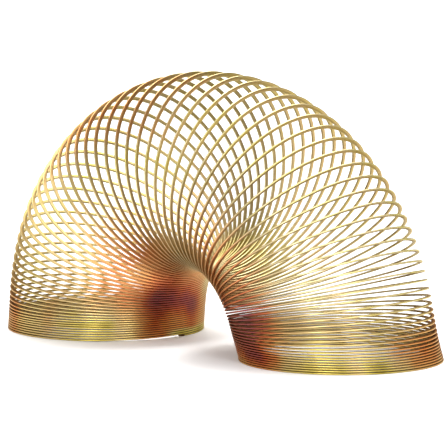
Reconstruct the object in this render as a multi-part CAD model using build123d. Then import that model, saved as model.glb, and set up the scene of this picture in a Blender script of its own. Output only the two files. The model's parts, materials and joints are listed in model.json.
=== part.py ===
"""Walking spring coil toy, standing as an arch on its two feet.

One flat steel wire is wound into a coil of 76 turns. The closed turns at its two ends are the feet.
Between the feet every turn fans open against the one below it, so the coil bends through half a
circle. The wire is divided at the inside of the arch, where one turn twists against the next, and
each division is a hinge along Y. Lengths are millimetres, +Z is up, X runs from the left foot to
the right foot, and the arch stands in the XZ plane.
"""

import os
from math import cos, degrees, pi, sin

from build123d import *

# ---- the wire and the coil ----
COIL_DIAMETER = 69.0  # outside
WIRE_WIDTH = 1.5  # across the flat wire, pointing at the coil's axis
WIRE_THICKNESS = 0.63  # along the coil's axis
TURNS = 76
MEAN_RADIUS = (COIL_DIAMETER - WIRE_WIDTH) / 2

# ---- the arch: how the turns fan open and spread from foot to foot ----
LEFT_CLOSED_TURNS = 6.2  # turns at the left end that don't fan
RIGHT_CLOSED_TURNS = 3.2
LEFT_FAN_POWER = 1.57  # how late the fan opens from the left foot
RIGHT_FAN_POWER = 1.93
CLOSED_PITCH = 0.735  # from turn to turn at the inner edge, in the feet
CROWN_PITCH_GAIN = 0.577  # how much further apart the inner edges are at the crown
CROWN_PITCH_POWER = 2.9
LEFT_PITCH_GAIN = 0.13  # the left shoulder is a little more open than the right one
# sideways slip of each turn on the one before, towards the inside of the arch:
# a quadratic in the cosine of the turn's tilt
LEAN = (0.116, 0.181, -0.231)

# ---- the end turns: flat to stand on, then a ramp up beside the next turn ----
FLAT_TURN = 5 / 6
SETTLE_TURNS = 5  # turns over which that step fades into an even climb
END_ANGLE = 6.0  # from the inner edge of the foot to where the whole wire begins, in degrees

# ---- the end caps: a crimped sleeve over a tongue at each end of the wire ----
CAP_ANGLE = 2.8
CAP_WIDTH = 1.95
TONGUE_ANGLE = 2.0
TONGUE_WIDTH = 1.0
TONGUE_THICKNESS = 0.34
CAP_FIT = 0.02  # clearance all round the tongue

# ---- the division into nodes ----
LEFT_FOOT_TURNS = 8
RIGHT_FOOT_TURNS = 7
LEFT_PAIRS = 2  # nodes of two turns next to the foot, where the fan is small
RIGHT_PAIRS = 3
CUT_GAP = 0.12  # clearance in the wire where two nodes meet

STEPS_PER_TURN = 96
SECTIONS_PER_TURN = 16

FREE_TURNS = TURNS - LEFT_CLOSED_TURNS - RIGHT_CLOSED_TURNS


def place_in_arch(turn):
    """0 where the left foot's closed turns end, 1 where the right foot's begin."""
    return (turn - LEFT_CLOSED_TURNS) / FREE_TURNS


def fan_shape(turn):
    """How much a turn fans open, before scaling: none in the feet, most near the crown."""
    x = place_in_arch(turn)
    if x <= 0 or x >= 1:
        return 0.0
    return (2 * x) ** LEFT_FAN_POWER * (2 - 2 * x) ** RIGHT_FAN_POWER


def climb_share(turn):
    """How fast the coil climbs here, as a share of its pitch.

    An end turn is flat and then climbs in a short ramp. The turns after it lie on it, so they
    have the same ramp, fainter with each turn.
    """
    from_end = min(turn, TURNS - turn)
    whole = int(from_end)
    step = 0.0 if from_end - whole < FLAT_TURN else 1 / (1 - FLAT_TURN)
    return step + (1 - step) * min(whole / SETTLE_TURNS, 1)


def step_arch():
    """Rows of (x, z, tilt) of the coil's axis, from foot to foot, by stepping along the coil."""
    count = TURNS * STEPS_PER_TURN
    step = 1 / STEPS_PER_TURN
    middles = [(i + 0.5) * step for i in range(count)]
    shapes = [fan_shape(turn) for turn in middles]
    scale = pi / sum(shapes)
    most = max(shapes)
    tilt, tilts, moves = 0.0, [0.0], []
    for turn, shape in zip(middles, shapes):
        fan = scale * shape
        middle_tilt = tilt + fan / 2
        tilt += fan
        tilts.append(tilt)
        gain = CROWN_PITCH_GAIN * (shape / most) ** CROWN_PITCH_POWER
        gain += LEFT_PITCH_GAIN * (shape / most) * (1 - 2 * place_in_arch(turn))
        slip = sum(share * cos(middle_tilt) ** power for power, share in enumerate(LEAN))
        rise = (CLOSED_PITCH + gain) * climb_share(turn) * step + MEAN_RADIUS * fan
        slip *= step if min(turn, TURNS - turn) > FLAT_TURN else 0
        along = rise * sin(middle_tilt) + slip * cos(middle_tilt)
        up = rise * cos(middle_tilt) - slip * sin(middle_tilt)
        moves.append((along, up))
    # the right foot's closed turns take up what is left of the height, so both feet stand level
    first = next(i for i, turn in enumerate(middles) if place_in_arch(turn) >= 1)
    height = sum(up for _, up in moves[:first])
    foot_climb = sum(climb_share(turn) for turn in middles[first:]) * step
    right_pitch = height / foot_climb
    print("right foot pitch", round(right_pitch, 3))
    for i in range(first, count):
        moves[i] = (moves[i][0], -right_pitch * climb_share(middles[i]) * step)
    x, z = 0.0, WIRE_THICKNESS / 2
    rows = [(x, z, tilts[0])]
    for (along, up), tilt in zip(moves, tilts[1:]):
        x, z = x + along, z + up
        rows.append((x, z, tilt))
    # the origin is under the middle of the whole arch, shoulder to shoulder
    outer = [x - COIL_DIAMETER / 2 * cos(tilt) for x, _, tilt in rows]
    middle = (min(outer) + max(outer)) / 2
    return [(x - middle, z, tilt) for x, z, tilt in rows]


ARCH = step_arch()


def axis_at(turn):
    """(x, z, tilt) of the coil's axis at a place along the coil, counted in turns."""
    i = min(int(turn * STEPS_PER_TURN), len(ARCH) - 2)
    share = turn * STEPS_PER_TURN - i
    return [low + share * (high - low) for low, high in zip(ARCH[i], ARCH[i + 1])]


def section_plane(turn):
    """Plane across the wire: its x points away from the coil's axis, its z along the wire."""
    x, z, tilt = axis_at(turn)
    angle = 2 * pi * turn
    inward = Vector(cos(tilt), 0, -sin(tilt))  # towards the inside of the arch
    outward = inward * cos(angle) + Vector(0, sin(angle), 0)
    along = inward * -sin(angle) + Vector(0, cos(angle), 0)
    return Plane(Vector(x, 0, z) + outward * MEAN_RADIUS, x_dir=outward, z_dir=along)


def wire_between(start, end):
    """The flat wire from one place along the coil to another, as one smooth solid."""
    count = max(2, round((end - start) * SECTIONS_PER_TURN))
    places = [start + (end - start) * i / count for i in range(count + 1)]
    return loft([section_plane(turn) * Rectangle(WIRE_WIDTH, WIRE_THICKNESS) for turn in places])


def ring_piece(centre, side, first_angle, arc, width, thickness):
    """Part of a flat ring that lies on the floor, turned from the foot's inner edge (side 1 or -1)."""
    profile = Plane.XZ * Pos(MEAN_RADIUS, WIRE_THICKNESS / 2) * Rectangle(width, thickness)
    piece = revolve(Rot(0, 0, first_angle) * profile, axis=Axis.Z, revolution_arc=arc)
    return Pos(centre, 0, 0) * (piece if side > 0 else Rot(0, 0, 180) * piece)


def foot_and_cap(side):
    """One foot's closed turns with the tongue at their end, and the cap on it. side is 1 left, -1 right."""
    if side > 0:
        centre, _, _ = axis_at(0)
        ramp = wire_between(FLAT_TURN, 1)
        coil = wire_between(1, LEFT_FOOT_TURNS - CUT_TURN)
    else:
        centre, _, _ = axis_at(TURNS)
        ramp = wire_between(TURNS - 1, TURNS - FLAT_TURN)
        coil = wire_between(TURNS - RIGHT_FOOT_TURNS + CUT_TURN, TURNS - 1)
    flat_arc = 360 * FLAT_TURN - END_ANGLE
    flat = ring_piece(centre, side, END_ANGLE, flat_arc, WIRE_WIDTH, WIRE_THICKNESS)
    tongue_start = END_ANGLE - TONGUE_ANGLE
    tongue = ring_piece(centre, side, tongue_start, TONGUE_ANGLE, TONGUE_WIDTH, TONGUE_THICKNESS)
    cap_arc = CAP_ANGLE - CAP_FIT_ANGLE
    cap = ring_piece(centre, side, END_ANGLE - CAP_ANGLE, cap_arc, CAP_WIDTH, WIRE_THICKNESS)
    pocket = ring_piece(
        centre,
        side,
        tongue_start - CAP_FIT_ANGLE,
        TONGUE_ANGLE + CAP_FIT_ANGLE,
        TONGUE_WIDTH + 2 * CAP_FIT,
        TONGUE_THICKNESS + 2 * CAP_FIT,
    )
    return coil + ramp + flat + tongue, cap - pocket


def save(name, solid):
    """Writes one node's file and prints its volume."""
    print(name, "volume", round(solid.volume, 2), "valid", solid.is_valid)
    export_step(solid, f"parts/{name}.step")


CUT_TURN = CUT_GAP / 2 / (2 * pi * MEAN_RADIUS)  # half the clearance, in turns
CAP_FIT_ANGLE = degrees(CAP_FIT / MEAN_RADIUS)

# the turns where one node ends and the next begins
cuts = [LEFT_FOOT_TURNS + 2 * i for i in range(LEFT_PAIRS)]
cuts += range(cuts[-1] + 2, TURNS - RIGHT_FOOT_TURNS - 2 * RIGHT_PAIRS)
cuts += [TURNS - RIGHT_FOOT_TURNS - 2 * i for i in range(RIGHT_PAIRS, -1, -1)]

os.makedirs("parts", exist_ok=True)
left_foot, left_cap = foot_and_cap(1)
save("left_foot_coil", left_foot)
save("left_end_cap", left_cap)
for start, end in zip(cuts, cuts[1:]):
    turn_name = f"turn_{start + 1:02d}" if end - start == 1 else f"turns_{start + 1:02d}_{end:02d}"
    save(turn_name, wire_between(start + CUT_TURN, end - CUT_TURN))
right_foot, right_cap = foot_and_cap(-1)
save("right_foot_coil", right_foot)
save("right_end_cap", right_cap)

# each hinge lies along Y through the wire where two nodes meet, and closes by the turn's fan
for cut in cuts:
    x, z, tilt = axis_at(cut)
    fan = axis_at(cut + 0.5)[2] - axis_at(cut - 0.5)[2]
    hinge = (x + MEAN_RADIUS * cos(tilt), z - MEAN_RADIUS * sin(tilt))
    print("hinge at turn", cut, "x z", [round(v, 4) for v in hinge], "fan", round(degrees(fan), 4))
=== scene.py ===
# %% [markdown]
# # A walking spring
#
# This lesson dresses the packed CAD model of a spring coil toy. The real toy is one very long flat
# steel wire, wound into a coil and plated a shifting gold. It stands as an arch on its two ends.
# The CAD model divides the wire where one turn twists against the next, because a rigid node can't
# bend. Here the wire is swept again, smoothly, with a length of it at each joint between two CAD
# bodies.
#
# First the frame is loaded.

# %% Load the frame
import json
from math import cos, pi, radians, sin

import bmesh
import bpy
from mathutils import Matrix, Vector

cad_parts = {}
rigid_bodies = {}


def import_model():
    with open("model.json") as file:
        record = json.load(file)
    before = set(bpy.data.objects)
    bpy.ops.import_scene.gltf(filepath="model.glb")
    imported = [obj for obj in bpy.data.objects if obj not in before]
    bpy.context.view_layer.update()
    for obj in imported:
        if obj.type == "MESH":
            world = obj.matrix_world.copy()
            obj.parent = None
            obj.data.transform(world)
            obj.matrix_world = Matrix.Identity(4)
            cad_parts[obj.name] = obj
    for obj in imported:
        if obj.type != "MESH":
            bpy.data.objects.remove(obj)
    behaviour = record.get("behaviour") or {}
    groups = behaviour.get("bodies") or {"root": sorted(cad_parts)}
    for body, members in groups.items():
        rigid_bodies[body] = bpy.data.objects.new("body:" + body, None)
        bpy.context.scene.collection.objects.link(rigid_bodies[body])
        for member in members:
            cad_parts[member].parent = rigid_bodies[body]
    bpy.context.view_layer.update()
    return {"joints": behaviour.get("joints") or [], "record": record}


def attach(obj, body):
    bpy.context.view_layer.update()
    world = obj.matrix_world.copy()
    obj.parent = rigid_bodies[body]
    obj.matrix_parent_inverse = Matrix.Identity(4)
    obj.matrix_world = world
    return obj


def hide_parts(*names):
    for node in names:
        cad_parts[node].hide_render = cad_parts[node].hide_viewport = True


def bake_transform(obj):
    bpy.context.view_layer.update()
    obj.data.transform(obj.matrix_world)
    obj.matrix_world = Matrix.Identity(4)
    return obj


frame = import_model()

# %% [markdown]
# ## The camera
#
# A long lens from about a metre and a half away keeps the two feet almost the same size. The camera
# is made first, so that every later step can be looked at. It aims at a point a little under the
# crown, and it is rolled by a small part of a degree, as a hand-held camera is.

# %% Camera
CAMERA_AZIMUTH = radians(42.331)  # from the front of the arch towards its right foot
CAMERA_ELEVATION = radians(6.9877)
CAMERA_DISTANCE = 1.5554
CAMERA_AIM = Vector((0.001354, 0, 0.041291))
CAMERA_ROLL = radians(0.146)
LENS = 365.157  # millimetres, on a sensor 36 mm wide

away = Vector((
    sin(CAMERA_AZIMUTH) * cos(CAMERA_ELEVATION),
    -cos(CAMERA_AZIMUTH) * cos(CAMERA_ELEVATION),
    sin(CAMERA_ELEVATION),
))
level = Vector((cos(CAMERA_AZIMUTH), sin(CAMERA_AZIMUTH), 0))
upward = away.cross(level)
right = level * cos(CAMERA_ROLL) + upward * sin(CAMERA_ROLL)
top = upward * cos(CAMERA_ROLL) - level * sin(CAMERA_ROLL)

camera_data = bpy.data.cameras.new("camera")
camera_data.lens = LENS
camera_data.sensor_width = 36
camera_data.clip_start = 0.05
camera_data.clip_end = 50
camera = bpy.data.objects.new("camera", camera_data)
bpy.context.scene.collection.objects.link(camera)
camera.matrix_world = Matrix.Translation(CAMERA_AIM + away * CAMERA_DISTANCE) @ Matrix(
    (right, top, away)
).transposed().to_4x4()
bpy.context.scene.camera = camera
print("camera at", [round(v, 3) for v in camera.matrix_world.translation])

# %% [markdown]
# ## The line the coil follows
#
# A spring that stands as an arch is closed in its feet and fans open towards its crown. Each turn
# leans a little on the one below. The CAD model steps along the coil and adds up those small leans,
# and this cell does the same sums, in metres, so that the new wire lies exactly where the CAD is.
# A place along the coil is counted in turns, from 0 at the left foot to 76 at the right.

# %% Where the coil's axis runs
MM = 0.001
COIL_DIAMETER = 69.0 * MM
WIRE_WIDTH = 1.5 * MM  # across the flat, pointing at the coil's axis
WIRE_THICKNESS = 0.63 * MM
TURNS = 76
MEAN_RADIUS = (COIL_DIAMETER - WIRE_WIDTH) / 2

LEFT_CLOSED_TURNS = 6.2
RIGHT_CLOSED_TURNS = 3.2
LEFT_FAN_POWER = 1.57
RIGHT_FAN_POWER = 1.93
CLOSED_PITCH = 0.735 * MM
CROWN_PITCH_GAIN = 0.577 * MM
CROWN_PITCH_POWER = 2.9
LEFT_PITCH_GAIN = 0.13 * MM
LEAN = (0.116 * MM, 0.181 * MM, -0.231 * MM)
FLAT_TURN = 5 / 6  # the end turns lie flat for this much of a turn
SETTLE_TURNS = 5  # turns over which the step behind a flat end fades into an even climb
STEPS_PER_TURN = 96


def place_in_arch(turn):
    """0 where the left foot's closed turns end, 1 where the right foot's begin."""
    return (turn - LEFT_CLOSED_TURNS) / (TURNS - LEFT_CLOSED_TURNS - RIGHT_CLOSED_TURNS)


def fan_shape(turn):
    """How much a turn fans open, before scaling."""
    x = place_in_arch(turn)
    if x <= 0 or x >= 1:
        return 0.0
    return (2 * x) ** LEFT_FAN_POWER * (2 - 2 * x) ** RIGHT_FAN_POWER


def climb_share(turn):
    """How fast the coil climbs here, as a share of its pitch: none on a flat end, then a ramp."""
    from_end = min(turn, TURNS - turn)
    whole = int(from_end)
    step = 0.0 if from_end - whole < FLAT_TURN else 1 / (1 - FLAT_TURN)
    return step + (1 - step) * min(whole / SETTLE_TURNS, 1)


def step_arch():
    """Rows of (x, z, tilt) of the coil's axis, STEPS_PER_TURN to a turn."""
    step = 1 / STEPS_PER_TURN
    middles = [(i + 0.5) * step for i in range(TURNS * STEPS_PER_TURN)]
    shapes = [fan_shape(turn) for turn in middles]
    scale, most = pi / sum(shapes), max(shapes)
    tilt, tilts, moves = 0.0, [0.0], []
    for turn, shape in zip(middles, shapes):
        fan = scale * shape
        middle_tilt = tilt + fan / 2
        tilt += fan
        tilts.append(tilt)
        gain = CROWN_PITCH_GAIN * (shape / most) ** CROWN_PITCH_POWER
        gain += LEFT_PITCH_GAIN * (shape / most) * (1 - 2 * place_in_arch(turn))
        slip = sum(share * cos(middle_tilt) ** power for power, share in enumerate(LEAN))
        slip *= step if min(turn, TURNS - turn) > FLAT_TURN else 0
        rise = (CLOSED_PITCH + gain) * climb_share(turn) * step + MEAN_RADIUS * fan
        moves.append((
            rise * sin(middle_tilt) + slip * cos(middle_tilt),
            rise * cos(middle_tilt) - slip * sin(middle_tilt),
        ))
    first = next(i for i, turn in enumerate(middles) if place_in_arch(turn) >= 1)
    height = sum(up for _, up in moves[:first])
    right_pitch = height / (sum(climb_share(turn) for turn in middles[first:]) * step)
    for i in range(first, len(moves)):
        moves[i] = (moves[i][0], -right_pitch * climb_share(middles[i]) * step)
    x, z = 0.0, WIRE_THICKNESS / 2
    rows = [(x, z, tilts[0])]
    for (along, up), tilt in zip(moves, tilts[1:]):
        x, z = x + along, z + up
        rows.append((x, z, tilt))
    outer = [x - COIL_DIAMETER / 2 * cos(tilt) for x, _, tilt in rows]
    middle = (min(outer) + max(outer)) / 2
    return [(x - middle, z, tilt) for x, z, tilt in rows]


ARCH = step_arch()
crown = max(ARCH, key=lambda row: row[1])
print("axis from", ARCH[0][:2], "over", crown[:2], "to", ARCH[-1][:2])

# %% [markdown]
# ## A frame for the wire's section
#
# To sweep a section along a line, Blender needs to know where the section goes at each step. A
# 4x4 matrix says that: its columns are the section's own x, y and z directions and its place.
# Here x points away from the coil's axis, y along that axis, and z along the wire.

# %% Section frames


def axis_at(turn):
    """(x, z, tilt) of the coil's axis at a place along the coil."""
    i = min(int(turn * STEPS_PER_TURN), len(ARCH) - 2)
    share = turn * STEPS_PER_TURN - i
    return [low + share * (high - low) for low, high in zip(ARCH[i], ARCH[i + 1])]


def section_frame(turn):
    """Matrix that takes the flat section from the XY plane to a place along the coil."""
    x, z, tilt = axis_at(turn)
    angle = 2 * pi * turn
    inward = Vector((cos(tilt), 0, -sin(tilt)))
    outward = inward * cos(angle) + Vector((0, sin(angle), 0))
    along = inward * -sin(angle) + Vector((0, cos(angle), 0))
    place = Vector((x, 0, z)) + outward * MEAN_RADIUS
    columns = Matrix((outward, along.cross(outward), along)).transposed().to_4x4()
    return Matrix.Translation(place) @ columns


def point_on_wire(turn):
    """The middle of the wire at a place along the coil."""
    return section_frame(turn).translation


print("inner edge of turn 12 at", [round(v, 5) for v in point_on_wire(12)])

# %% [markdown]
# ## The wire's section
#
# The wire is round wire rolled flat, so its section is a small rectangle whose corners are well
# rounded. One square face, scaled and with its corners bevelled, gives that section. A circle
# squashed flat would be quicker, but its sides wouldn't be level, and they catch the light.
#
# Two attributes go with the points. "closed_coil" is where a point would be if the spring were
# closed up into a plain cylinder, as it was when it was plated, so colours can run across from
# turn to turn. "wire_place" holds the distance along the wire, and the place across and through it.

# %% The wire's section
CORNER = 0.24 * MM
CORNER_SEGMENTS = 3
WOUND_PITCH = 0.75 * MM  # from turn to turn when the spring is closed up
WIRE_TURN = 2 * pi * MEAN_RADIUS  # length of one turn of wire


def make_section(bm, width, thickness, corner):
    """A rounded rectangle in the XY plane, as one face. Returns its vertices and its rim's edges."""
    made = bmesh.ops.create_grid(bm, x_segments=1, y_segments=1, size=0.5)
    bmesh.ops.scale(bm, vec=(width, thickness, 1), verts=made["verts"])
    bmesh.ops.bevel(
        bm, geom=made["verts"], affect="VERTICES", offset=corner, offset_type="OFFSET",
        segments=CORNER_SEGMENTS, profile=0.5, material=-1,
    )
    return list(bm.verts), list(bm.edges)


def mark_place(verts, turn, coil, place):
    """Writes both attributes on the points of one section."""
    angle = 2 * pi * turn
    for vert in verts:
        reach = MEAN_RADIUS + vert[place].y * WIRE_WIDTH / 2
        height = turn * WOUND_PITCH + vert[place].z * WIRE_THICKNESS / 2
        vert[coil] = (reach * cos(angle), reach * sin(angle), height)
        vert[place] = (turn * WIRE_TURN, vert[place].y, vert[place].z)


print("one turn holds", round(WIRE_TURN, 4), "m of wire")

# %% [markdown]
# ## The sweep
#
# The sweep extrudes the ring of edges round the section, moves the new ring on to the next section
# frame, and goes on. This is what Blender's Screw modifier does, but the arch isn't a plain screw,
# so the steps are made one by one. A curve with a bevel could do it too, but it would twist a flat
# wire at the crown. The sides are shaded smooth, and the two flat ends keep a crisp edge.

# %% Sweeping a closed length of wire


def finish_mesh(bm, name, material):
    """Turns a closed bmesh into an object with smooth sides and crisp ends."""
    bmesh.ops.recalc_face_normals(bm, faces=bm.faces)
    for face in bm.faces:
        face.smooth = len(face.verts) == 4
        if not face.smooth:
            for edge in face.edges:
                edge.smooth = False
    mesh = bpy.data.meshes.new(name)
    bm.to_mesh(mesh)
    bm.free()
    mesh.materials.append(material)
    piece = bpy.data.objects.new(name, mesh)
    bpy.context.scene.collection.objects.link(piece)
    return piece


def swept_frame(turn, share, shape):
    """The section frame at this turn, with the section scaled by shape where there is one."""
    return section_frame(turn) @ shape(share) if shape else section_frame(turn)


def sweep_wire(name, material, start, end, section=(WIRE_WIDTH, WIRE_THICKNESS, CORNER), shape=None):
    """One closed length of wire from start to end, in turns. shape(share) scales the section."""
    bm = bmesh.new()
    coil = bm.verts.layers.float_vector.new("closed_coil")
    place = bm.verts.layers.float_vector.new("wire_place")
    verts, ring = make_section(bm, *section)
    for vert in verts:
        vert[place] = (0, vert.co.x * 2 / WIRE_WIDTH, vert.co.y * 2 / WIRE_THICKNESS)
    steps = max(2, round((end - start) * STEPS_PER_TURN))
    now = swept_frame(start, 0, shape)
    bmesh.ops.transform(bm, matrix=now, verts=verts)
    mark_place(verts, start, coil, place)
    for i in range(1, steps + 1):
        turn = start + (end - start) * i / steps
        then = swept_frame(turn, i / steps, shape)
        made = bmesh.ops.extrude_edge_only(bm, edges=ring)["geom"]
        verts = [item for item in made if isinstance(item, bmesh.types.BMVert)]
        edges = [item for item in made if isinstance(item, bmesh.types.BMEdge)]
        ring = [edge for edge in edges if edge.verts[0] in verts and edge.verts[1] in verts]
        bmesh.ops.transform(bm, matrix=then @ now.inverted(), verts=verts)
        mark_place(verts, turn, coil, place)
        now = then
    bmesh.ops.contextual_create(bm, geom=ring)
    return finish_mesh(bm, name, material)


print("the sweep makes", STEPS_PER_TURN, "steps to a turn")

# %% [markdown]
# ## Shader maths in Python
#
# Materials are built from nodes. Wiring Math nodes one by one hides what they work out, so this
# small class wraps a socket and lets plain Python operators add the nodes. The reflected forms, such
# as __rsub__, let a plain number stand on the left, as in 1 - mask.

# %% Values that add their own nodes


class Value:
    """A number that a node gives, which can be added, multiplied and so on."""

    def __init__(self, finish, socket):
        self.finish, self.socket = finish, socket

    def __add__(self, other):
        return self.finish.maths("ADD", self, other)

    def __sub__(self, other):
        return self.finish.maths("SUBTRACT", self, other)

    def __rsub__(self, other):
        return self.finish.maths("SUBTRACT", other, self)

    def __mul__(self, other):
        return self.finish.maths("MULTIPLY", self, other)

    def __truediv__(self, other):
        return self.finish.maths("DIVIDE", self, other)

    def __rtruediv__(self, other):
        return self.finish.maths("DIVIDE", other, self)

    def __pow__(self, other):
        return self.finish.maths("POWER", self, other)

    __radd__ = __add__
    __rmul__ = __mul__


print("a Value knows", [name for name in vars(Value) if name.startswith("__r")])

# %% [markdown]
# ## One method for every other node
#
# Every node that isn't plain maths comes from one method, which takes the node's type, its settings
# and what goes into its sockets. A few short methods on top of it name the nodes that are used
# often. Materials and the world both hold a node tree, so the same helper serves both.

# %% A finish and its nodes


class Finish:
    """A material or world whose nodes are made by node(), and by operators on what it returns."""

    def __init__(self, block):
        self.block = block
        block.use_nodes = True
        self.tree = block.node_tree
        self.tree.nodes.clear()

    def node(self, kind, settings=None, inputs=None, output=0):
        """Adds one node. settings are its properties, inputs its sockets' values or links."""
        made = self.tree.nodes.new(kind)
        for key, value in (settings or {}).items():
            if key == "stops":
                self.set_stops(made.color_ramp, value)
            else:
                setattr(made, key, value)
        for key, value in (inputs or {}).items():
            if isinstance(value, Value):
                self.tree.links.new(value.socket, made.inputs[key])
            else:
                made.inputs[key].default_value = value
        return Value(self, made.outputs[output]) if made.outputs else None

    def set_stops(self, ramp, stops):
        """Gives a colour ramp these (position, colour) stops."""
        while len(ramp.elements) < len(stops):
            ramp.elements.new(1)
        for element, (position, colour) in zip(ramp.elements, stops):
            element.position, element.color = position, (*colour, 1)

    def maths(self, operation, first, second=0.0, third=0.0):
        """A Math node."""
        return self.node("ShaderNodeMath", {"operation": operation}, {0: first, 1: second, 2: third})

    def size(self, value):
        """The value without its sign."""
        return self.maths("ABSOLUTE", value)

    def smooth_step(self, value, low, high):
        """0 below low, 1 above high, and a smooth change between them."""
        settings = {"interpolation_type": "SMOOTHSTEP"}
        inputs = {"Value": value, "From Min": low, "From Max": high}
        return self.node("ShaderNodeMapRange", settings, inputs)

    def mix(self, share, first, second, blend_type="MIX"):
        """A colour between first and second."""
        settings = {"data_type": "RGBA", "blend_type": blend_type}
        return self.node("ShaderNodeMix", settings, {0: share, 6: first, 7: second}, 2)

    def tinted(self, colour, tint):
        """The colour as seen through a film of this tint."""
        return self.mix(1.0, colour, (*tint, 1), "MULTIPLY")

    def noise(self, vector, scale, detail=3.0, roughness=0.5):
        """Smooth noise from about 0 to 1 over these coordinates."""
        inputs = {"Vector": vector, "Scale": scale, "Detail": detail, "Roughness": roughness}
        return self.node("ShaderNodeTexNoise", {}, inputs)

    def stretched(self, vector, scale):
        """The same coordinates, scaled apart along each axis."""
        return self.node("ShaderNodeVectorMath", {"operation": "MULTIPLY"}, {0: vector, 1: scale})


def new_material(name):
    """An empty material, wrapped in the helper."""
    return Finish(bpy.data.materials.new(name))


print("a Finish has", [name for name in vars(Finish) if not name.startswith("_")])

# %% [markdown]
# ## The plating's colours
#
# Zinc plating with a yellow passivation is a film so thin that its colour comes from its thickness:
# olive green, then yellow, gold, tan, pink and crimson as the film changes. One number, the film,
# is worked out over the spring, and a colour ramp turns it into those colours in their real order.
# Mixing the colours patch by patch would be easier to steer, but it would lose that order.

# %% Colours of the film
FILM_COLOURS = (
    (0.00, (0.20, 0.16, 0.04)),
    (0.15, (0.50, 0.44, 0.10)),
    (0.28, (0.70, 0.62, 0.22)),
    (0.40, (0.70, 0.59, 0.33)),
    (0.52, (0.70, 0.50, 0.26)),
    (0.64, (0.68, 0.38, 0.17)),
    (0.76, (0.64, 0.24, 0.10)),
    (0.88, (0.50, 0.12, 0.06)),
    (1.00, (0.28, 0.07, 0.09)),
)
print("the film goes through", len(FILM_COLOURS), "colours")

# %% [markdown]
# ## Where the film is thick or thin
#
# The film changes in broad patches that run straight across the turns, because the spring was closed
# when it was dipped, so they are placed on the "closed_coil" attribute, by an angle round the coil
# and a turn along it. Noise of two sizes breaks up their edges, and fine streaks follow the wire.

# %% Thickness of the film
FILM_BASE = 0.38  # pale gold, on the ramp above
BROAD_CHANGE, SMALL_CHANGE, STREAK_CHANGE = 0.42, 0.24, 0.14  # how far each noise moves the film
PATCH_CORE = 0.3  # the share of a patch's reach over which it keeps its full strength
# (angle round the coil in degrees, its spread, turn, reach in turns, change of the film).
# Angle 0 is the inside of the arch and -90 its front.
PATCHES = (
    (-100, 34, 6, 16, 0.10),  # brown gold at the front of the left foot
    (-60, 20, 5, 20, -0.14),  # brighter olive gold beside it
    (-126, 22, 7, 12, 0.26),  # pink at its outer side
    (-4, 27, 12, 20, 0.31),  # crimson at its inner side
    (30, 24, 8, 14, 0.26),  # salmon beyond that
    (16, 26, 1, 3, -0.45),  # olive where it stands on the floor
    (-24, 60, 24, 18, 0.30),  # copper up the inside of the left shoulder
    (-143, 36, 32, 8, 0.24),  # red brown on the crown
    (-42, 78, 56, 19, 0.34),  # copper down the inside of the right shoulder
    (-46, 75, 66, 15, 0.38),  # red brown inner side of the right foot
    (-82, 14, 73, 6, 0.16),  # purple where that ends
    (-112, 26, 72, 12, -0.18),  # olive front of the right foot
    (-160, 13, 74, 6, -0.16),  # a second olive streak beside it
    (179, 24, 70, 9, 0.34),  # pink and purple outer side
    (136, 30, 69, 12, 0.28),  # and on round the back
)


def around(finish, coil, degrees_round):
    """1 at this angle round the coil, -1 opposite it."""
    direction = (cos(radians(degrees_round)), sin(radians(degrees_round)), 0)
    settings = {"operation": "DOT_PRODUCT"}
    dot = finish.node("ShaderNodeVectorMath", settings, {0: coil, 1: direction}, 1)
    return dot / MEAN_RADIUS


def film_thickness(finish, coil, turn, small, streaks):
    """The film over the whole spring, from 0, olive, to 1, crimson and purple."""
    broad = finish.noise(coil, 38.0, 2.0) - 0.5
    film = FILM_BASE + BROAD_CHANGE * broad + SMALL_CHANGE * small + STREAK_CHANGE * streaks
    for angle, spread, middle, reach, change in PATCHES:
        near = finish.smooth_step(around(finish, coil, angle), cos(radians(spread)), 1.0)
        off = finish.size(turn - middle)
        film = film + change * near * (1 - finish.smooth_step(off, reach * PATCH_CORE, reach))
    return film


print(len(PATCHES), "patches lie on the spring")

# %% [markdown]
# ## Painted shade, and the plating, on the wire itself
#
# The turns in the feet lie on each other, so they are tinted a deeper gold and darker, which is
# partly painted shade, with dark lines between them. The narrow edges of the wire, which face out of
# the coil and into it, are polished by the rolls. The broad faces are painted browner and darker,
# and the corners between the two are darker still: painted shade between the turns. The side that
# faces into the coil gets a greyer, thinly plated colour, darkened as painted shade of the coil's
# inside. All this follows the wire, so it is placed on "wire_place", not on the coil.

# %% Painted shade on the faces, corners, feet and inner side
CLOSED_GOLD_AND_SHADE_TINT = (0.92, 0.80, 0.50)  # deeper gold, and painted shade, where the turns lie on each other
# Painted shade: the tints below darken the broad faces and the corners.
FACE_SHADE_TINT = (0.60, 0.52, 0.42)
CORNER_SHADE_TINT = (0.26, 0.20, 0.14)
INNER_STEEL_AND_SHADE = (0.24, 0.22, 0.14, 1)  # thinly plated side that faces into the coil, darkened as painted shade
INNER_SHARE = 0.25
CLOSED_FROM, CLOSED_TO = 7, 24  # turns from an end over which the closed look fades


def narrow_edges(finish, across):
    """1 on the wire's two narrow edges, 0 on its broad faces."""
    return finish.smooth_step(finish.size(across), 0.62, 0.97)


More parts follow.
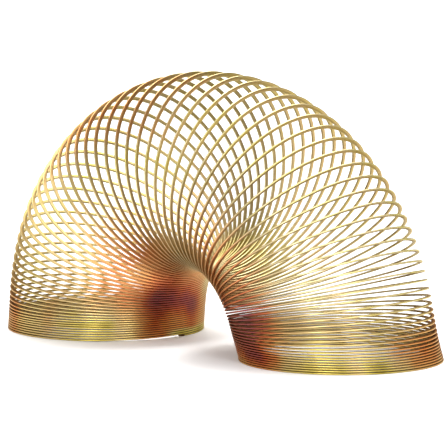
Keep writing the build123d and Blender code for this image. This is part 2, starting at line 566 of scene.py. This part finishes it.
def plating_and_painted_shade(finish, colour, turn, across, through):
    """The film's colour with painted shade on the broad faces, the corners, the feet and the inner
    side, a deeper gold in the feet and a greyer inner side.
    """
    from_end = finish.maths("MINIMUM", turn, TURNS - turn)
    closed = 1 - finish.smooth_step(from_end, CLOSED_FROM, CLOSED_TO)
    # A deeper gold over the closed turns of the feet, partly painted shade.
    colour = finish.mix(0.85 * closed, colour, finish.tinted(colour, CLOSED_GOLD_AND_SHADE_TINT))
    # Painted shade: the broad faces are darkened and browned, and the narrow edges keep the film's
    # colour.
    colour = finish.mix(narrow_edges(finish, across), finish.tinted(colour, FACE_SHADE_TINT), colour)
    # Painted shade: the rounded corners are darkened, most in the closed feet.
    corner = finish.smooth_step(finish.size(through), 0.30, 0.90)
    corner = corner * finish.smooth_step(finish.size(across), 0.50, 0.80)
    corner_shade = (0.45 + 0.4 * closed) * corner
    colour = finish.mix(corner_shade, colour, finish.tinted(colour, CORNER_SHADE_TINT))
    # Painted shade, with a greyer plating, on the side that faces into the coil.
    inner = 1 - finish.smooth_step(across, -0.9, -0.3)
    return finish.mix(INNER_SHARE * inner, colour, INNER_STEEL_AND_SHADE)


print("the closed look fades from turn", CLOSED_FROM, "to turn", CLOSED_TO, "of each end")

# %% [markdown]
# ## The plated wire's material
#
# The wire is metal all through, so Metallic is 1 and the colour is its reflection. Bare steel would
# turn white where it is seen edge on. The film doesn't, so the specular tint keeps it yellow there.
# Roughness follows the same noise as the film, and a very shallow bump gives the drawn wire its
# fine lines and pits. A deeper one would break the long highlights into speckle.

# %% Plated wire material
EDGE_ON_TINT = (0.80, 0.74, 0.58, 1)
DRAWN_DEPTH = 0.04 * MM


def make_plating():
    """The shifting gold of the wire."""
    finish = new_material("yellow_zinc_plating")
    coil = finish.node("ShaderNodeAttribute", {"attribute_name": "closed_coil"}, output=1)
    place = finish.node("ShaderNodeAttribute", {"attribute_name": "wire_place"}, output=1)
    across = finish.node("ShaderNodeSeparateXYZ", {}, {0: place}, 1)
    through = finish.node("ShaderNodeSeparateXYZ", {}, {0: place}, 2)
    turn = finish.node("ShaderNodeSeparateXYZ", {}, {0: coil}, 2) / WOUND_PITCH
    small = finish.noise(coil, 160.0, 3.0) - 0.5
    streaks = finish.noise(finish.stretched(place, (60.0, 1.2, 1.2)), 1.0, 4.0, 0.6) - 0.5

    film = film_thickness(finish, coil, turn, small, streaks)
    colour = finish.node("ShaderNodeValToRGB", {"stops": FILM_COLOURS}, {0: film})
    colour = plating_and_painted_shade(finish, colour, turn, across, through)

    faces = 1 - narrow_edges(finish, across)
    roughness = 0.32 + 0.15 * finish.size(small) + 0.08 * streaks + 0.06 * faces
    drawn = finish.noise(finish.stretched(place, (25.0, 14.0, 14.0)), 1.0, 3.0, 0.6)
    pits = finish.noise(coil, 2600.0, 2.0)
    relief = {"Height": drawn + 0.5 * pits, "Strength": 0.04, "Distance": DRAWN_DEPTH}
    bump = finish.node("ShaderNodeBump", {}, relief)
    shader = finish.node(
        "ShaderNodeBsdfPrincipled", {},
        {
            "Base Color": colour, "Metallic": 1.0, "Roughness": roughness,
            "Specular Tint": EDGE_ON_TINT, "Normal": bump,
        },
    )
    finish.node("ShaderNodeOutputMaterial", {}, {"Surface": shader})
    return finish.block


plating = make_plating()
print(plating.name, "has", len(plating.node_tree.nodes), "nodes")

# %% [markdown] ## Lengths of wire at the joints Where two CAD nodes meet, the wire twists. One turn of wire, from the outside of the arch through the inner edge and out again, is swept there in two halves, in the arch's rest shape. They are attached to neither body.

# %% Wire at the joints
bends = []
for joint in frame["joints"]:
    cut = int(joint["name"].split("_")[1])
    bends.append((cut, joint["parent"], joint["child"]))
bends.sort()
bodies = frame["record"]["behaviour"]["bodies"]

wires = []
for cut, before, after in bends:
    inside = point_on_wire(cut)
    tilt = axis_at(cut)[2]
    front = sweep_wire(f"front_half_turn_{cut:02d}", plating, cut - 0.5, cut)
    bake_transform(front)
    back = sweep_wire(f"back_half_turn_{cut:02d}", plating, cut, cut + 0.5)
    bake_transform(back)
    if after != "right_foot":
        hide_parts(*bodies[after])
    wires += [front, back]

# %% [markdown]
# ## Lengths that stay rigid
#
# The closed turns in each foot, and the middle of each CAD node that holds two turns, don't flex.
# They are swept in the same way and simply ride on their body. Each starts where a length at a joint
# ends, on the outside of the arch, so the wire looks unbroken there.

# %% Wire between the joints
END_ANGLE = 6.0 / 360  # from the inner edge of the foot to where the whole wire begins, in turns

for (first, _, body), (second, _, _) in zip(bends, bends[1:]):
    if second - first > 1:
        wire = sweep_wire(f"wire_turn_{first + 1:02d}", plating, first + 0.5, second - 0.5)
        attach(wire, body)
        wires.append(wire)
left_wire = sweep_wire("left_foot_wire", plating, END_ANGLE, bends[0][0] - 0.5)
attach(left_wire, "left_foot")
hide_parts("left_foot_coil")
right_wire = sweep_wire("right_foot_wire", plating, bends[-1][0] + 0.5, TURNS - END_ANGLE)
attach(right_wire, "right_foot")
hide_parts("right_foot_coil")
wires += [left_wire, right_wire]
print(len(wires), "lengths of wire,", sum(len(w.data.polygons) for w in wires), "faces")

# %% [markdown]
# ## The end caps
#
# The sharp cut ends of the wire are covered by small crimped sleeves, so that they don't catch on a
# finger. A sleeve follows the wire's curve, so it is the same sweep with a wider section, which
# narrows at its ends and at its two crimps. It is dark browned steel, so the wire's gold plating
# doesn't run over it.

# %% End caps
CAP_START = (6.0 - 2.8) / 360  # in turns
CAP_SECTION = (1.95 * MM, WIRE_THICKNESS, 0.2 * MM)
CAP_ROUNDING = 0.12  # share of the sleeve's length over which each end is rounded
CRIMPS = (0.36, 0.64)  # where the crimps are along the sleeve
CRIMP_REACH, CRIMP_DEPTH = 0.07, 0.16


def sleeve_shape(share):
    """Scale of the sleeve's section along it: rounded ends and two crimps."""
    end = min(1, (min(share, 1 - share) / CAP_ROUNDING + 0.02)) ** 0.5
    crimp = 1 - CRIMP_DEPTH * sum(abs(share - middle) < CRIMP_REACH for middle in CRIMPS)
    scale = (0.72 + 0.28 * end) * crimp
    return Matrix.Diagonal((scale, 0.9 * scale + 0.1 * end, 1, 1))


def make_cap_finish():
    """Dark brown, oily steel."""
    finish = new_material("browned_cap")
    coords = finish.node("ShaderNodeTexCoord", {}, output=3)
    mottle = finish.noise(coords, 1400.0, 4.0, 0.6)
    colour = finish.mix(mottle, (0.05, 0.025, 0.012, 1), (0.17, 0.09, 0.04, 1))
    relief = {"Height": mottle, "Strength": 0.2, "Distance": 0.05 * MM}
    bump = finish.node("ShaderNodeBump", {}, relief)
    shader = finish.node(
        "ShaderNodeBsdfPrincipled", {},
        {"Base Color": colour, "Metallic": 1.0, "Roughness": 0.3 + 0.2 * mottle, "Normal": bump},
    )
    finish.node("ShaderNodeOutputMaterial", {}, {"Surface": shader})
    return finish.block


cap_finish = make_cap_finish()
cap_lengths = (("left", CAP_START, END_ANGLE), ("right", TURNS - END_ANGLE, TURNS - CAP_START))
for side, start, end in cap_lengths:
    cap = sweep_wire(f"{side}_cap_sleeve", cap_finish, start, end, CAP_SECTION, sleeve_shape)
    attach(cap, f"{side}_foot")
    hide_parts(f"{side}_end_cap")
    print(cap.name, "has", len(cap.data.polygons), "faces")

# %% [markdown]
# ## The floor
#
# The spring stands on a plain white sheet that reaches far behind it, so no edge or horizon shows.

# %% Floor
FLOOR_SIZE = 30.0


def make_floor():
    """A plain white sheet."""
    finish = new_material("white_floor")
    coords = finish.node("ShaderNodeTexCoord", {}, output=3)
    tone = finish.noise(coords, 3.0, 2.0)
    colour = finish.mix(tone, (0.90, 0.90, 0.90, 1), (0.93, 0.93, 0.93, 1))
    shader = finish.node(
        "ShaderNodeBsdfPrincipled", {},
        {"Base Color": colour, "Roughness": 0.6, "Specular IOR Level": 0.2},
    )
    finish.node("ShaderNodeOutputMaterial", {}, {"Surface": shader})
    bm = bmesh.new()
    bmesh.ops.create_grid(bm, x_segments=1, y_segments=1, size=FLOOR_SIZE / 2)
    mesh = bpy.data.meshes.new("floor")
    bm.to_mesh(mesh)
    bm.free()
    mesh.materials.append(finish.block)
    floor = bpy.data.objects.new("floor", mesh)
    bpy.context.scene.collection.objects.link(floor)


make_floor()
print("the floor is", FLOOR_SIZE, "m square")

# %% [markdown]
# ## The lights
#
# Metal shows what is round it more than its own colour, so the lights are shapes to be reflected.
# Two tall strips at the front give the upright highlights down the feet and shoulders, and a wide
# softbox behind and above whitens the floor and makes soft shadows. Point lights would only make
# dots. The strips are weak, because strong ones would turn the gold wire white.

# %% Softboxes
LIGHTS_AIM = Vector((0, 0, 0.05))


def softbox(name, azimuth, elevation, distance, width, height, power):
    """A rectangular light that faces the spring from this direction, in degrees."""
    a, e = radians(azimuth), radians(elevation)
    back = Vector((sin(a) * cos(e), -cos(a) * cos(e), sin(e)))
    data = bpy.data.lights.new(name, "AREA")
    data.shape = "RECTANGLE"
    data.size, data.size_y, data.energy = width, height, power
    lamp = bpy.data.objects.new(name, data)
    bpy.context.scene.collection.objects.link(lamp)
    turned = back.to_track_quat("Z", "Y").to_matrix().to_4x4()
    lamp.matrix_world = Matrix.Translation(LIGHTS_AIM + back * distance) @ turned


softbox("left_strip", 26, 22, 1.6, 0.34, 1.2, 10)
softbox("right_strip", 66, 22, 1.6, 0.40, 1.2, 7.5)
softbox("overhead", 215, 62, 1.6, 1.5, 1.5, 44)
print(len(bpy.data.lights), "softboxes face the spring")

# %% [markdown]
# ## The room
#
# What no light covers is still reflected: a white ceiling that dims towards the floor. A world that
# is the same all over would leave the wire flat, and this slope gives each wire a darker underside.
# The view is set to Standard, because Blender's usual film-like view would grey the white floor.

# %% Room
SKY_LOW = (0.42, 0.42, 0.43)  # the dim room near the floor
SKY_HIGH = (1.0, 1.0, 1.0)  # the white ceiling
SKY_STRENGTH = 0.9

room = Finish(bpy.data.worlds.new("studio"))
direction = room.node("ShaderNodeTexCoord")
height = room.node("ShaderNodeSeparateXYZ", {}, {0: direction}, 2)
sky = room.node("ShaderNodeValToRGB", {"stops": ((0.05, SKY_LOW), (0.80, SKY_HIGH))}, {0: height})
glow = room.node("ShaderNodeBackground", {}, {"Color": sky, "Strength": SKY_STRENGTH})
room.node("ShaderNodeOutputWorld", {}, {"Surface": glow})
bpy.context.scene.world = room.block
bpy.context.scene.view_settings.view_transform = "Standard"
print("the room goes from", SKY_LOW, "to", SKY_HIGH)

# %% [markdown]
# ## Sizes, and the end
#
# The new wire has to stay inside the CAD model's box, because the CAD is what says how big the toy
# is.
